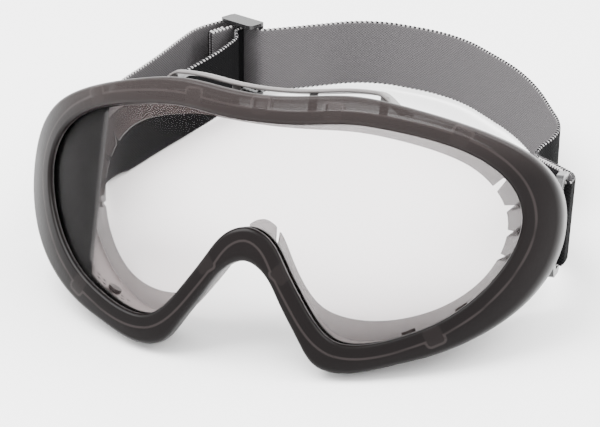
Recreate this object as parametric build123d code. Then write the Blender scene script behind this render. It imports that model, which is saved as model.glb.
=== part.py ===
from build123d import *
import math
import os

# Safety goggles with a wrap-round lens, a soft one-piece frame and an elastic headband.
# Millimetres and degrees. Each piece of the goggles is drawn upright in a goggle frame: X to the right,
# Y backwards to the face, Z up, with the origin at the middle of the lens's outside face. The finished
# goggles lean back to stand on the two lower lobes of the rim and on the edge of the headband.

# Stance
LEAN = 21.0  # how far the goggles lean back when they stand on a table

# Lens
LENS_RADIUS = 114.0  # outside radius of the cylindrical lens, about an upright axis
LENS_THICKNESS = 2.2
LENS_COVER = 4.0  # how far the rim covers the lens's edge
LENS_GAP = 0.06  # clearance between the lens and its groove
TAB_WIDTH = 5.4
TAB_HEIGHT = 5.6
TAB_CORNER = 1.2
# Middle of each locking tab on the right half, with the direction its outer end points in
LENS_TABS = [(0, 28.2, 0), (21.3, 28.6, 0), (56.8, 25.8, 20), (11.8, -19.6, 128), (55.9, -32.6, 150)]

# Rim
RIM_PROUD = 2.2  # how far the rim stands in front of the lens
RIM_BACK = 4.8  # from the lens's outside face to the back of the rim
# Right half of the clear opening and of the rim's outside, from the top middle round to the nose
OPENING = [(0, 23.3), (13, 24), (25, 25.5), (40, 24.9), (54, 22.6), (65, 18.3), (72, 12), (75, 4),
           (74, -4.5), (70.3, -13), (64.6, -21), (56, -28.6), (46, -34), (36.5, -37.2), (28.5, -37),
           (23.8, -33.6), (18.6, -27), (12, -17), (6.8, -10), (0, -7.3)]
OUTSIDE = [(0, 31.6), (13, 32.6), (26, 34), (40, 32.8), (54, 30.2), (67, 26.6), (77, 21.6), (83.6, 14),
           (86, 4), (85, -7), (81.5, -16), (75.5, -24.5), (67, -32), (56, -38.4), (44, -43), (31.5, -46.4),
           (24, -45), (18.6, -38.6), (11.6, -28), (6.4, -20.6), (0, -17.4)]

# Chamber behind the rim
WALL_THICKNESS = 1.8
WALL_OUT = 5.0  # from the clear opening to the outside of the chamber wall
WALL_BITE = 1.0  # overlap of the wall with the rim
WALL_REACH = 90.0  # deeper than the flange anywhere
WALL_WIDTH = 0.97  # width of the chamber as a share of the opening's with its wall
WALL_FLOOR = 0.94  # depth of its floor below the lens's middle, as a share in the same way

# Face flange
FLANGE_DEPTH = 16.0  # from the lens to the flange at the middle of the forehead
FLANGE_RADIUS = 70.0  # curve of the forehead in plan
FLANGE_HALF_ARC = 45.6  # where that curve runs on as a straight line towards the temple
FLANGE_THICKNESS = 1.5
FLANGE_OPENING = [(0, 22.6), (12, 23), (24, 23.6), (36, 22.6), (47, 20.4), (56, 16.8), (63, 10.6),
                  (66.8, 3), (67, -5), (64, -14), (57.5, -22.4), (48.5, -28.4), (38.5, -31.6),
                  (28.5, -32), (20.5, -29.6), (14, -23), (9, -14.6), (4.6, -7.8), (0, -5.4)]
TEMPLE_GAPS = [(63.2, 12.2, 34), (66.8, 5.4, 76), (67.2, -2.2, 92), (65.8, -9.8, 108)]
TEMPLE_GAP_WIDTH = 1.5
TEMPLE_GAP_DEPTH = 2.8
NOSE_SLIT_X = 4.8
NOSE_SLIT_WIDTH = 0.9
NOSE_SLIT_BOTTOM = -14.0

# Vents
VENT_HOLE_RADIUS = 0.6
VENT_PITCH = 2.6
VENT_ROWS = 3
UPPER_VENT_HALF = 34.0  # half length of the row of holes in the top wall
UPPER_VENT_DEPTH = 11.0  # depth of its middle row at the middle of the goggles
LOWER_VENT_FROM = 42.0  # nearest and furthest hole from the middle in each bottom wall
LOWER_VENT_TO = 68.0
LOWER_VENT_BACK = 9.2  # distance of the middle row behind the lens
COVER_GAP = 1.5  # air space between a vent cover and the chamber wall
COVER_SEAT = 0.3  # gap between the ends of a cover and the wall
COVER_THICKNESS = 0.9
UPPER_COVER_HALF = 39.0
UPPER_COVER_FRONT = 6.0
LOWER_COVER_FROM = 22.0
LOWER_COVER_TO = 70.0
LOWER_COVER_FRONT = 5.4  # distances of its front and back edges behind the lens
LOWER_COVER_BACK = 13.0
PEG_RADIUS = 1.3
PEG_HEAD_RADIUS = 2.2
PEG_HEAD_THICKNESS = 1.0
PEG_FIT = 0.06
LOWER_PEGS = [48.0, 62.0]
UPPER_PEGS = [12.0, 33.0]

# Strap clip and its pivot
PIVOT_BACK = 50.0  # pivot's depth behind the lens
PIVOT_SEAT = 79.4  # distance of the clip's seat from the middle
PIVOT_PAD_RADIUS = 6.4
PIVOT_PAD_DEPTH = 3.0
STUD_RADIUS = 3.0
RUNNING_FIT = 0.08
CLIP_PLAY = 0.3  # side play of the clip between its seat and the cap
CLIP_THICKNESS = 2.4
CLIP_NOSE_RADIUS = 6.4
CLIP_BAR_FROM = 15.8  # pivot to the near side of the bar that holds the strap
CLIP_BAR = 3.4
CLIP_SLOT = 4.4
CLIP_RAIL = 2.2
CLIP_CORNER = 2.4
CAP_RADIUS = 4.8
CAP_THICKNESS = 1.3
CAP_PIN_RADIUS = 1.5
CAP_PIN_LENGTH = 5.0

# Headband webbing
STRAP_WIDTH = 27.5
STRAP_THICKNESS = 1.5
STRAP_EASE = 0.3  # clearance of the webbing round a bar or in a slot
STRAP_LANDING = 115.0  # depth at which its lower edge comes down to the table
STRAP_LIFT = 1.8  # how far the adjuster holds its edge off the table
LIFT_FROM = 150.0  # depths between which it rises to that
LIFT_TO = 203.0
LEG_LENGTH = 7.0  # straight webbing behind each clip's bar
# Plan of the headband, from behind the right clip round the back of the head, through the adjuster
BAND_PLAN = [(62, 112), (70, 141), (50, 188), (12, 231), (-27, 240), (-53, 221), (-66, 212), (-84, 221),
             (-92, 207), (-95, 173), (-100, 132)]
# Plan of the inner layer, from behind the left clip to the adjuster's middle bar
RETURN_PLAN = [(-89.5, 104), (-82.5, 146), (-73.5, 183), (-72, 200)]
TAIL_LENGTH = 20.0  # webbing sewn back on itself at the right clip
TAIL_EASE = 0.1

# Adjuster
SLIDER_LENGTH = 18.0
SLIDER_RAIL = 1.5
SLIDER_BAR = 2.2
SLIDER_BAR_DEPTH = 2.2
SLIDER_EASE = 0.3
SLIDER_BEND = 4.0  # radius of the band's bend at each end of the adjuster
HEM_LENGTH = 15.0  # loose end of the webbing beyond the middle bar
HEM_FOLD = 8.0
HEM_LEAN = 0.75

# Stitching
STITCH_LENGTH = 1.9
STITCH_PITCH = 2.7
STITCH_WIDTH = 0.5
STITCH_PROUD = 0.25
STITCH_ROWS = 8

TALL = 160.0  # taller than the whole object, for cutting shapes


def whole(half):
    """Both halves of an outline given from the top middle round the right to the bottom middle."""
    return half + [(-x, z) for x, z in reversed(half[1:-1])]


def outward(points, i):
    """Unit vector out of a closed clockwise outline at point i."""
    ahead = points[(i + 1) % len(points)]
    behind = points[i - 1]
    along = (ahead[0] - behind[0], ahead[1] - behind[1])
    length = math.hypot(*along)
    return (-along[1] / length, along[0] / length)


def grown(points, distance):
    """The same closed outline with each point moved outward."""
    moved = []
    for i, (x, z) in enumerate(points):
        nx, nz = outward(points, i)
        moved.append((x + nx * distance, z + nz * distance))
    return moved


def outline_face(points, depth):
    """A smooth closed face through the points, upright at the given depth."""
    return make_face(Spline(*[Vector(x, depth, z) for x, z in points], periodic=True))


def prism(points, near, far):
    return extrude(outline_face(points, near), amount=far - near, dir=(0, 1, 0))


def chamber_outline(distance):
    """Outline of the chamber, the given distance outside the clear opening."""
    points = grown(whole(OPENING), distance)
    return [(x * WALL_WIDTH, z * (WALL_FLOOR if z < 0 else 1)) for x, z in points]


def chamber(distance):
    return prism(chamber_outline(distance), -10, WALL_REACH)


def lens_cylinder(behind):
    """Solid cylinder whose side is the given distance behind the lens's outside face."""
    return Pos(0, LENS_RADIUS, 0) * Cylinder(LENS_RADIUS - behind, TALL)


def lens_layer(near, far):
    return lens_cylinder(near) - lens_cylinder(far)


def ahead_of_flange(inset):
    """Everything in front of the flange's back face, moved forward by inset."""
    radius = FLANGE_RADIUS + inset
    centre = FLANGE_DEPTH + FLANGE_RADIUS
    turn = math.radians(FLANGE_HALF_ARC)
    end_x = radius * math.sin(turn)
    end_y = centre - radius * math.cos(turn)
    reach = 60.0
    far_x = end_x + reach * math.cos(turn)
    far_y = end_y + reach * math.sin(turn)
    arc = ThreePointArc((-end_x, end_y), (0, centre - radius), (end_x, end_y))
    rest = Polyline((end_x, end_y), (far_x, far_y), (far_x, -40), (-far_x, -40), (-far_x, far_y),
                    (-end_x, end_y))
    return extrude(Pos(0, 0, -TALL / 2) * make_face(Curve() + arc + rest), amount=TALL, dir=(0, 0, 1))


def lens_face_depth(x):
    """Depth of the lens's outside face at x."""
    return LENS_RADIUS - math.sqrt(LENS_RADIUS ** 2 - x ** 2)


def on_wall(x, upper, distance):
    """Height of the chamber's roof or floor at x, and its outward direction."""
    points = chamber_outline(distance)
    for i, (ax, az) in enumerate(points):
        bx, bz = points[(i + 1) % len(points)]
        rightward = bx > ax
        if rightward == upper and min(ax, bx) <= x <= max(ax, bx) and (az > 0) == upper:
            share = (x - ax) / (bx - ax)
            z = az + share * (bz - az)
            length = math.hypot(bx - ax, bz - az)
            return z, (-(bz - az) / length, (bx - ax) / length)
    raise ValueError("no wall at x = " + str(x))


def rounded_tab(clearance):
    """A locking tab's outline, standing up from its own middle."""
    width = TAB_WIDTH + 2 * clearance
    height = TAB_HEIGHT + 2 * clearance
    return Plane.XZ * RectangleRounded(width, height, TAB_CORNER + clearance)


def lens_shape(clearance):
    """The lens with its tabs, or the groove for it when there is a clearance."""
    blank = prism(grown(whole(OPENING), LENS_COVER + clearance), -20, 70)
    for x, z, turn in LENS_TABS:
        tab = extrude(rounded_tab(clearance), amount=90, both=True)
        for side in ((1, -1) if x else (1,)):
            blank += Pos(side * x, 0, z) * Rot(0, side * turn, 0) * tab
    return blank & lens_layer(-clearance, LENS_THICKNESS + clearance)


def vent_hole(x, depth, upper):
    z, (nx, nz) = on_wall(x, upper, WALL_OUT - WALL_THICKNESS / 2)
    across = Plane(origin=(x, depth, z), z_dir=(nx, 0, nz))
    return across * Cylinder(VENT_HOLE_RADIUS, 3 * WALL_THICKNESS)


def row_offsets():
    return [(row - (VENT_ROWS - 1) / 2) * VENT_PITCH for row in range(VENT_ROWS)]


def vent_holes():
    """Three staggered rows of holes in the top wall and in each bottom wall."""
    holes = []
    upper_count = int(UPPER_VENT_HALF / VENT_PITCH)
    for row, offset in enumerate(row_offsets()):
        stagger = (row % 2) * VENT_PITCH / 2
        for n in range(-upper_count, upper_count + 1):
            x = n * VENT_PITCH + stagger
            if all(abs(abs(x) - peg) > 2 * PEG_RADIUS for peg in UPPER_PEGS):
                holes.append(vent_hole(x, UPPER_VENT_DEPTH + lens_face_depth(x) / 2 + offset, True))
        lower_count = int((LOWER_VENT_TO - LOWER_VENT_FROM) / VENT_PITCH)
        for n in range(lower_count + 1):
            x = LOWER_VENT_FROM + n * VENT_PITCH + stagger
            if all(abs(x - peg) > 2 * PEG_RADIUS for peg in LOWER_PEGS):
                depth = lens_face_depth(x) + LOWER_VENT_BACK + offset
                holes += [vent_hole(side * x, depth, False) for side in (1, -1)]
    return holes


def peg_plane(x, depth, upper):
    """Plane on the chamber wall's outside at a peg, its Z axis pointing out."""
    z, (nx, nz) = on_wall(x, upper, WALL_OUT)
    return Plane(origin=(x, depth, z), z_dir=(nx, 0, nz))


def peg_places(upper):
    places = []
    for x in UPPER_PEGS if upper else LOWER_PEGS:
        if upper:
            depth = UPPER_VENT_DEPTH + lens_face_depth(x) / 2
        else:
            depth = lens_face_depth(x) + LOWER_VENT_BACK
        places += [peg_plane(side * x, depth, upper) for side in (1, -1)]
    return places


def rim_ring():
    """Front ring that the lens sits in."""
    ring = prism(whole(OUTSIDE), -20, 70) & lens_layer(-RIM_PROUD, RIM_BACK)
    return ring - prism(whole(OPENING), -30, 80)


def chamber_wall():
    """Wall behind the rim, with its vent and peg holes and the two pivot studs."""
    wall = chamber(WALL_OUT) - chamber(WALL_OUT - WALL_THICKNESS)
    wall = wall & lens_cylinder(RIM_BACK - WALL_BITE) & ahead_of_flange(0)
    stud_end = PIVOT_SEAT + 2 * CLIP_PLAY + CLIP_THICKNESS
    for side in (1, -1):
        seat = Pos(side * PIVOT_SEAT, PIVOT_BACK, 0) * Rot(0, side * 90, 0)
        pad = Cylinder(PIVOT_PAD_RADIUS, PIVOT_PAD_DEPTH, align=(Align.CENTER, Align.CENTER, Align.MAX))
        stud = Cylinder(STUD_RADIUS, stud_end - PIVOT_SEAT, align=(Align.CENTER, Align.CENTER, Align.MIN))
        end = Pos(side * stud_end, PIVOT_BACK, 0) * Rot(0, side * 90, 0)
        bore = Cylinder(CAP_PIN_RADIUS + PEG_FIT, 2 * CAP_PIN_LENGTH + 1)
        wall += seat * (pad + stud)
        wall -= end * bore
    wall -= vent_holes()
    wall -= [place * Cylinder(PEG_RADIUS + PEG_FIT, 4 * WALL_THICKNESS)
             for place in peg_places(True) + peg_places(False)]
    return wall


def face_flange():
    """Thin flange that meets the face, notched at the temples and slit over the nose."""
    flange = chamber(WALL_OUT) & (ahead_of_flange(0) - ahead_of_flange(FLANGE_THICKNESS))
    flange -= prism(whole(FLANGE_OPENING), -30, 110)
    cuts = []
    slit_height = 0 - NOSE_SLIT_BOTTOM
    for side in (1, -1):
        for x, z, turn in TEMPLE_GAPS:
            gap = Box(TEMPLE_GAP_WIDTH, 60, 2 * TEMPLE_GAP_DEPTH)
            cuts.append(Pos(side * x, FLANGE_DEPTH + 35, z) * Rot(0, side * turn, 0) * gap)
        slit = Box(NOSE_SLIT_WIDTH, 30, slit_height)
        cuts.append(Pos(side * NOSE_SLIT_X, FLANGE_DEPTH + 4, NOSE_SLIT_BOTTOM + slit_height / 2) * slit)
    return flange - cuts


def frame_body():
    """Soft moulding: rim, chamber wall, face flange and the two pivot studs."""
    body = rim_ring() + chamber_wall() + face_flange()
    return body - lens_shape(LENS_GAP)


def lens():
    return lens_shape(0)


def cover_shell(from_x, to_x, upper):
    """Skin that follows the chamber wall at the cover's air gap, with a closed end at each side."""
    outer = chamber(WALL_OUT + COVER_GAP + COVER_THICKNESS)
    inner = chamber(WALL_OUT + COVER_GAP)
    wall_side = chamber(WALL_OUT + COVER_SEAT)
    reach = 100.0
    strip = Pos((from_x + to_x) / 2, 30, (1 if upper else -1) * reach / 2)
    strip = strip * Box(to_x - from_x, 200, reach)
    skin = (outer - inner) & strip
    ends = (outer - wall_side) & strip
    inside = Pos((from_x + to_x) / 2, 30, 0) * Box(to_x - from_x - 2 * COVER_THICKNESS, 300, 2 * reach)
    return skin + (ends - inside)


def peg(place):
    """Snap peg from a cover through the wall, with its round head inside the chamber."""
    stem_length = COVER_GAP + WALL_THICKNESS + 0.6
    stem = Pos(0, 0, COVER_GAP - stem_length / 2 + 0.3) * Cylinder(PEG_RADIUS, stem_length)
    head_top = COVER_GAP + 0.3 - stem_length
    head = Pos(0, 0, head_top - PEG_HEAD_THICKNESS / 2) * Cylinder(PEG_HEAD_RADIUS, PEG_HEAD_THICKNESS)
    return place * (stem + head)


def upper_vent_cover():
    skin = cover_shell(-UPPER_COVER_HALF, UPPER_COVER_HALF, True)
    skin &= lens_cylinder(UPPER_COVER_FRONT) & ahead_of_flange(0)
    for place in peg_places(True):
        skin += peg(place)
    return skin


def lower_vent_cover(side):
    if side > 0:
        skin = cover_shell(LOWER_COVER_FROM, LOWER_COVER_TO, False)
    else:
        skin = cover_shell(-LOWER_COVER_TO, -LOWER_COVER_FROM, False)
    skin &= lens_layer(LOWER_COVER_FRONT, LOWER_COVER_BACK)
    for place in peg_places(False):
        if place.origin.X * side > 0:
            skin += peg(place)
    return skin


def clip(side):
    """Swivel clip in its own frame: pivot at the origin along X, strap bar towards +Y."""
    half_height = STRAP_WIDTH / 2 + STRAP_EASE + CLIP_RAIL
    back = CLIP_BAR_FROM + CLIP_BAR
    slot_near = CLIP_BAR_FROM - CLIP_SLOT
    profile = Plane.YZ * Circle(CLIP_NOSE_RADIUS)
    web = Polyline((0, CLIP_NOSE_RADIUS), (slot_near - 3, half_height), (back, half_height),
                   (back, -half_height), (slot_near - 3, -half_height), (0, -CLIP_NOSE_RADIUS),
                   (0, CLIP_NOSE_RADIUS))
    profile += Plane.YZ * fillet(make_face(web).vertices().sort_by(Axis.X)[-4:], CLIP_CORNER)
    body = extrude(profile, amount=CLIP_THICKNESS, dir=(1, 0, 0))
    slot = Box(4 * CLIP_THICKNESS, CLIP_SLOT, STRAP_WIDTH + 2 * STRAP_EASE)
    body -= Pos(0, slot_near + CLIP_SLOT / 2, 0) * slot
    body -= Rot(0, 90, 0) * Cylinder(STUD_RADIUS + RUNNING_FIT, 4 * CLIP_THICKNESS)
    if side < 0:
        body = mirror(body, Plane.YZ)
    return Pos(side * (PIVOT_SEAT + CLIP_PLAY), 0, 0) * body


def pivot_cap(side):
    """Push-on cap that keeps the clip on its stud, in the goggle frame."""
    start = PIVOT_SEAT + 2 * CLIP_PLAY + CLIP_THICKNESS
    disc = Cylinder(CAP_RADIUS, CAP_THICKNESS, align=(Align.CENTER, Align.CENTER, Align.MIN))
    disc = fillet(disc.edges().sort_by(Axis.Z)[-1], CAP_THICKNESS / 2)
    pin = Cylinder(CAP_PIN_RADIUS, CAP_PIN_LENGTH, align=(Align.CENTER, Align.CENTER, Align.MAX))
    return Pos(side * start, PIVOT_BACK, 0) * Rot(0, side * 90, 0) * (disc + pin)


def shifted(points, distance):
    """A plan route moved to its left, with mitred corners."""
    moved = []
    for i, (x, y) in enumerate(points):
        ways = []
        for a, b in ((i - 1, i), (i, i + 1)):
            if a >= 0 and b < len(points):
                run = (points[b][0] - points[a][0], points[b][1] - points[a][1])
                length = math.hypot(*run)
                ways.append((run[0] / length, run[1] / length))
        first, last = ways[0], ways[-1]
        cross = first[0] * last[1] - first[1] * last[0]
        half_turn = math.atan2(cross, first[0] * last[0] + first[1] * last[1]) / 2
        lean = math.atan2(first[1], first[0]) + half_turn + math.pi / 2
        reach = distance / math.cos(half_turn)
        moved.append((x + reach * math.cos(lean), y + reach * math.sin(lean)))
    return moved


def corner_radii(points, most, tight):
    """Largest smooth radius at each corner, and the way it turns; tight corners have the adjuster's bend."""
    radii = []
    for (ax, ay), (bx, by), (cx, cy) in zip(points, points[1:], points[2:]):
        before = math.hypot(bx - ax, by - ay)
        after = math.hypot(cx - bx, cy - by)
        turn = math.atan2(cy - by, cx - bx) - math.atan2(by - ay, bx - ax)
        turn = (turn + math.pi) % (2 * math.pi) - math.pi
        radius = 0.45 * min(before, after) / math.tan(abs(turn) / 2)
        limit = SLIDER_BEND if (bx, by) in tight else most
        radii.append((min(radius, limit), math.copysign(1, turn)))
    return radii


def ribbon_plan(points, most=400.0, tight=(), thickness=STRAP_THICKNESS):
    """Plan of a webbing of even thickness along the route, with round corners."""
    radii = corner_radii(points, most, tight)
    sides = []
    for distance in (thickness / 2, -thickness / 2):
        corners = shifted(points, distance)
        bends = [radius - turn * distance for radius, turn in radii]
        sides.append(FilletPolyline(*corners, radius=bends) if bends else Line(*corners))
    left, right = sides
    ends = Line(left @ 0, right @ 0) + Line(left @ 1, right @ 1)
    return make_face(Curve() + left + right + ends)


def upright(face):
    return extrude(Pos(0, 0, -TALL / 2) * face, amount=TALL, dir=(0, 0, 1))


def bar_loop(side, inner_reach):
    """Webbing round a clip's bar in the clip's frame, open towards +Y."""
    bar_in = PIVOT_SEAT + CLIP_PLAY
    bar_out = bar_in + CLIP_THICKNESS
    outer = bar_out + STRAP_EASE + STRAP_THICKNESS / 2
    inner = bar_in - STRAP_EASE - STRAP_THICKNESS / 2
    cross = CLIP_BAR_FROM - STRAP_EASE - STRAP_THICKNESS / 2
    end = CLIP_BAR_FROM + CLIP_BAR + LEG_LENGTH
    route = [(side * outer, end), (side * outer, cross), (side * inner, cross), (side * inner, inner_reach)]
    loop = ribbon_plan(route, most=1.5)
    return extrude(Pos(0, 0, -STRAP_WIDTH / 2) * loop, amount=STRAP_WIDTH, dir=(0, 0, 1))


def stitches(point, way, columns, column_pitch, fall):
    """Columns of short upright stitches along a direction, lying on a face of the webbing."""
    heading = math.atan2(way[1], way[0])
    stitch = Box(STITCH_WIDTH, STITCH_PROUD, STITCH_LENGTH)
    group = []
    for column in range(columns):
        along = column * column_pitch
        x = point[0] + math.cos(heading) * along
        y = point[1] + math.sin(heading) * along
        drop = math.sin(heading) * along * fall
        for row in range(STITCH_ROWS):
            z = point[2] - drop + (row - (STITCH_ROWS - 1) / 2) * STITCH_PITCH
            group.append(Pos(x, y, z) * Rot(0, 0, math.degrees(heading)) * stitch)
    return group


# Stance of the goggles: they lean back and come down to the table
body = frame_body()
leaned = Rot(-LEAN, 0, 0)
ride = -(leaned * body).bounding_box().min.Z
stand = Pos(0, 0, ride) * leaned

# Slope of the headband between the pivots and the place where its edge meets the table
lean_turn = math.radians(LEAN)
pivot_y = PIVOT_BACK * math.cos(lean_turn)
pivot_z = ride - PIVOT_BACK * math.sin(lean_turn)
to_landing = math.hypot(pivot_z, STRAP_LANDING - pivot_y)
slope = math.acos(STRAP_WIDTH / 2 / to_landing) - math.atan2(STRAP_LANDING - pivot_y, pivot_z)
clip_place = Pos(0, pivot_y, pivot_z) * Rot(-math.degrees(slope), 0, 0)

# Side view of the webbing: down a slope, along the table, and up a little to the adjuster
half_rise = STRAP_WIDTH / 2 / math.cos(slope)


def slope_height(y):
    return pivot_z - (y - pivot_y) * math.tan(slope)


top_landing = pivot_y + (pivot_z + half_rise - STRAP_WIDTH) / math.tan(slope)
back_end = 300.0
leg_end = CLIP_BAR_FROM + CLIP_BAR + LEG_LENGTH
near = pivot_y + leg_end * math.cos(slope) - STRAP_WIDTH / 2 * math.sin(slope) - 1
side_view = Polyline((near, slope_height(near) - half_rise), (STRAP_LANDING, 0), (LIFT_FROM, 0),
                     (LIFT_TO, STRAP_LIFT), (back_end, STRAP_LIFT), (back_end, STRAP_LIFT + STRAP_WIDTH),
                     (LIFT_TO, STRAP_LIFT + STRAP_WIDTH), (LIFT_FROM, STRAP_WIDTH),
                     (top_landing, STRAP_WIDTH), (near, slope_height(near) + half_rise),
                     (near, slope_height(near) - half_rise))
side_space = extrude(Plane.YZ * make_face(side_view), amount=200, both=True)


def clip_side(distance):
    """Everything on the clip's side of the given distance along the sloping webbing."""
    return clip_place * Pos(0, distance - 100, 0) * Box(400, 200, 200)


bar_outer = PIVOT_SEAT + CLIP_PLAY + CLIP_THICKNESS + STRAP_EASE + STRAP_THICKNESS / 2
bar_inner = PIVOT_SEAT + CLIP_PLAY - STRAP_EASE - STRAP_THICKNESS / 2
leg_y = pivot_y + (leg_end + 3) * math.cos(slope)

# Main band, with its end sewn back on itself at the right clip
band_route = [(bar_outer, near), (bar_outer, leg_y)] + BAND_PLAN + [(-bar_outer, leg_y), (-bar_outer, near)]
band = upright(ribbon_plan(band_route, tight=BAND_PLAN[6:8])) & side_space
tail_step = STRAP_THICKNESS + TAIL_EASE
first_run = (BAND_PLAN[0][0] - bar_outer, BAND_PLAN[0][1] - leg_y)
run_length = math.hypot(*first_run)
run_way = (first_run[0] / run_length, first_run[1] / run_length)
inward = (-run_way[1], run_way[0])


def beside_run(along, step):
    """Point beside the band's first run, step inside its middle line."""
    return (bar_outer + run_way[0] * along + inward[0] * step, leg_y + run_way[1] * along + inward[1] * step)


tail_route = [(bar_inner, near), (bar_inner, leg_y - 5), beside_run(8, tail_step),
              beside_run(8 + TAIL_LENGTH, tail_step)]
tail = upright(ribbon_plan(tail_route, most=12)) & side_space
band = band + tail + clip_place * bar_loop(1, leg_end) + clip_place * bar_loop(-1, leg_end)

# Inner layer: from the left clip's loop to the adjuster's middle bar, round it, and to a hemmed end
slider_from, slider_to = BAND_PLAN[7], BAND_PLAN[6]
slider_x = (slider_from[0] + slider_to[0]) / 2
slider_y = (slider_from[1] + slider_to[1]) / 2
slider_turn = math.atan2(slider_to[1] - slider_from[1], slider_to[0] - slider_from[0])
slider_place = Pos(slider_x, slider_y, 0) * Rot(0, 0, math.degrees(slider_turn))
middle_bar_y = -(STRAP_THICKNESS * 1.5 + 2 * SLIDER_EASE + SLIDER_BAR_DEPTH / 2)
loop_out = SLIDER_BAR_DEPTH / 2 + SLIDER_EASE / 2 + STRAP_THICKNESS / 2
loop_side = SLIDER_BAR / 2 + SLIDER_EASE + STRAP_THICKNESS / 2


def by_slider(x, y):
    """Plan point given in the adjuster's frame: X along the band, Y outward."""
    cos, sin = math.cos(slider_turn), math.sin(slider_turn)
    return (slider_x + x * cos - y * sin, slider_y + x * sin + y * cos)


return_route = [(-bar_inner, near), (-bar_inner, leg_y)] + RETURN_PLAN
tail_turn = middle_bar_y + loop_out
tail_end = (-loop_side + HEM_LEAN, tail_turn - HEM_LENGTH)
return_route += [by_slider(loop_side, tail_turn - 5), by_slider(loop_side, tail_turn),
                 by_slider(-loop_side, tail_turn), by_slider(*tail_end)]
inner_layer = upright(ribbon_plan(return_route)) & side_space
inner_layer -= clip_side(leg_end)
hem_step = STRAP_THICKNESS + TAIL_EASE
hem_lean = HEM_LEAN * HEM_FOLD / HEM_LENGTH
hem_route = [by_slider(tail_end[0] - hem_lean - hem_step, tail_end[1] + HEM_FOLD),
             by_slider(tail_end[0] - hem_step, tail_end[1])]
hem = upright(ribbon_plan(hem_route)) & side_space

# Adjuster: two outer bars outside the band, one middle bar inside it, and two rails
slider_height = STRAP_LIFT + STRAP_WIDTH + SLIDER_EASE + SLIDER_RAIL
bar_y = STRAP_THICKNESS / 2 + SLIDER_EASE + SLIDER_BAR_DEPTH / 2
rail_front = middle_bar_y - SLIDER_BAR_DEPTH / 2
rail_back = bar_y + SLIDER_BAR_DEPTH / 2
rail = Box(SLIDER_LENGTH, rail_back - rail_front, SLIDER_RAIL)
rail = fillet(rail.edges().filter_by(Axis.Z), 2.0)
slider = Pos(0, (rail_back + rail_front) / 2, SLIDER_RAIL / 2) * rail
slider += Pos(0, (rail_back + rail_front) / 2, slider_height - SLIDER_RAIL / 2) * rail
bar = Box(SLIDER_BAR, SLIDER_BAR_DEPTH, slider_height)
bar = Pos(0, 0, slider_height / 2) * fillet(bar.edges().filter_by(Axis.Z), 0.7)
bar_x = SLIDER_LENGTH / 2 - SLIDER_BAR / 2 - 0.3
for x, y in ((-bar_x, bar_y), (0, middle_bar_y), (bar_x, bar_y)):
    slider += Pos(x, y, 0) * bar

# Stitching through the sewn tail and through the hem
tail_face = beside_run(12, tail_step + STRAP_THICKNESS / 2 + STITCH_PROUD / 2)
tail_seam = stitches((*tail_face, slope_height(tail_face[1])), run_way, 3, 5.0, math.tan(slope))
hem_way = (hem_route[1][0] - hem_route[0][0], hem_route[1][1] - hem_route[0][1])
hem_face = by_slider(tail_end[0] - hem_lean - hem_step - STRAP_THICKNESS / 2 - STITCH_PROUD / 2,
                     tail_end[1] + HEM_FOLD - 2)
hem_seam = stitches((*hem_face, STRAP_LIFT + STRAP_WIDTH / 2), hem_way, 2, 4.0, 0)

pieces = {
    "frame_body": stand * body,
    "lens": stand * lens(),
    "upper_vent_cover": stand * upper_vent_cover(),
    "lower_vent_cover_left": stand * lower_vent_cover(-1),
    "lower_vent_cover_right": stand * lower_vent_cover(1),
    "pivot_cap_left": stand * pivot_cap(-1),
    "pivot_cap_right": stand * pivot_cap(1),
    "strap_clip_left": clip_place * clip(-1),
    "strap_clip_right": clip_place * clip(1),
    "headband_strap": band,
    "strap_inner_layer": inner_layer,
    "strap_end_hem": hem,
    "strap_adjuster": slider_place * slider,
    "clip_seam_stitching": Compound(children=tail_seam),
    "hem_stitching": Compound(children=hem_seam),
}

# The origin is under the middle of the whole object, on the table
boxes = [piece.bounding_box() for piece in pieces.values()]
low = [min(getattr(box.min, axis) for box in boxes) for axis in "XYZ"]
high = [max(getattr(box.max, axis) for box in boxes) for axis in "XYZ"]
home = Pos(-(low[0] + high[0]) / 2, -(low[1] + high[1]) / 2, -low[2])
os.makedirs("parts", exist_ok=True)
for name, piece in pieces.items():
    export_step(home * piece, "parts/" + name + ".step")
print("home", tuple(home.position), "ride", ride, "slope", math.degrees(slope))
print("pivot", tuple((home * Pos(0, pivot_y, pivot_z)).position))
print("adjuster turn", math.degrees(slider_turn), "band radii",
      [round(radius, 1) for radius, turn in corner_radii(band_route, 400, BAND_PLAN[6:8])])
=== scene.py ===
import math

import bpy
import numpy as np
from mathutils import Matrix, Vector


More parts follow.
